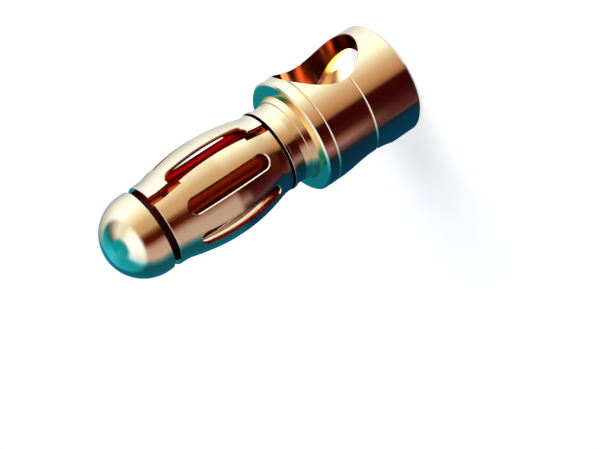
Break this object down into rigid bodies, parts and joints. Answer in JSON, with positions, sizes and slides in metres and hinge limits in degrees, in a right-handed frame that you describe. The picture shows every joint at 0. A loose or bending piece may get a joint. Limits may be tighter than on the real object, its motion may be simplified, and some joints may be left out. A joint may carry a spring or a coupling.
{
  "type": "bullet connector plug",
  "caption": "Gold-plated male bullet plug: open wire cup with a cross-drilled solder hole, stepped neck, bowed spring cage and a domed nose.",
  "frame": {"origin": "centre of the cup's mouth, on the face that the plug stands on", "axes": "+Z along the plug's axis from the cup's mouth to the tip of the nose; +X along the cross-drilled solder hole"},
  "size_m": [0.0054, 0.0054, 0.0154],
  "materials": {
    "gold_body": "turned brass, gold plated and bright",
    "gold_cage": "rolled copper alloy sheet, gold plated and bright"
  },
  "bodies": {
    "root": {"plug_body": "gold_body", "contact_cage": "gold_cage"}
  },
  "joints": []
}
